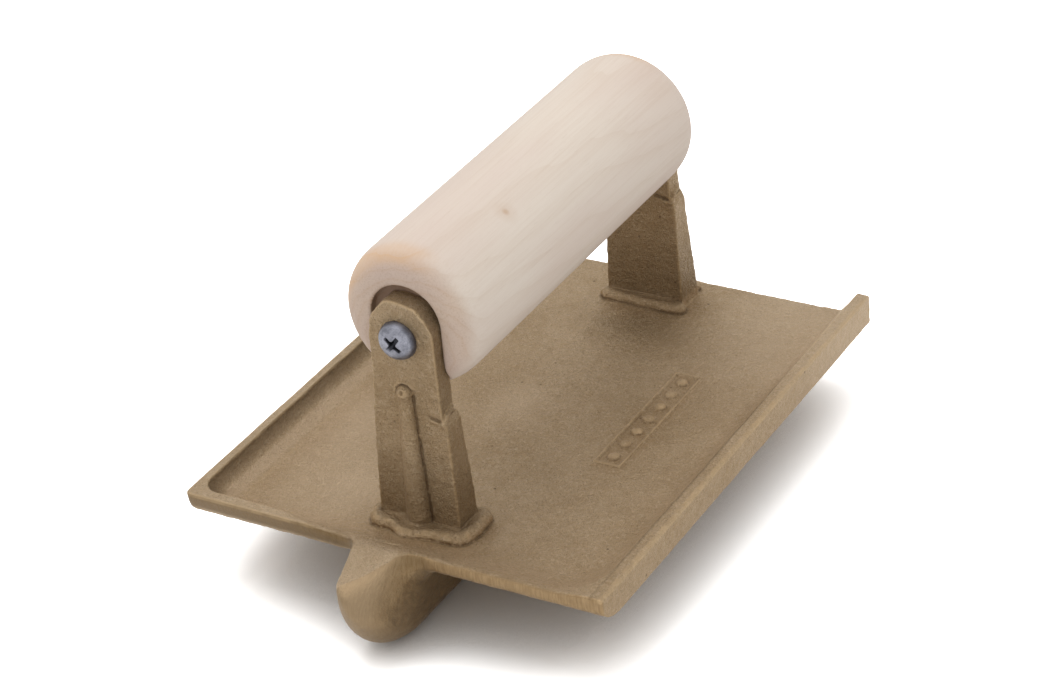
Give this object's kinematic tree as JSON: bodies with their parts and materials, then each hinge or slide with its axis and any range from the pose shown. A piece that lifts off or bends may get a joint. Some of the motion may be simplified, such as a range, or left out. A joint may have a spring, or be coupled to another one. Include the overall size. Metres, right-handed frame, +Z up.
{
  "type": "concrete hand groover",
  "caption": "Cast bronze concrete hand groover: rimmed flat sole with a rounded groove bit and prow beneath, cast posts and a turned wood handle held by pan head screws.",
  "frame": {"origin": "bottom centre of the whole tool's box: on the centre line, level with the keel of the groove bit, half way between prow tip and square cut end", "axes": "+X across the tool, +Y along the handle towards the square cut end, the prow is at -Y, +Z up from the sole towards the handle"},
  "size_m": [0.121, 0.1692, 0.0985],
  "materials": {
    "bronze": "matte sand cast bronze with ground rims and a brushed groove bit",
    "handle_wood": "bare sanded pale hardwood",
    "zinc_steel": "zinc plated steel, dull"
  },
  "bodies": {
    "tool": {"groover_casting": "bronze", "wood_handle": "handle_wood"},
    "front_screw_body": {"front_screw": "zinc_steel"},
    "rear_screw_body": {"rear_screw": "zinc_steel"}
  },
  "joints": [
    {"name": "front_screw_out", "type": "slide", "parent": "tool", "child": "front_screw_body", "axis": [0, -1, 0], "range_m": [0, 0.03]},
    {"name": "rear_screw_out", "type": "slide", "parent": "tool", "child": "rear_screw_body", "axis": [0, 1, 0], "range_m": [0, 0.03]}
  ]
}
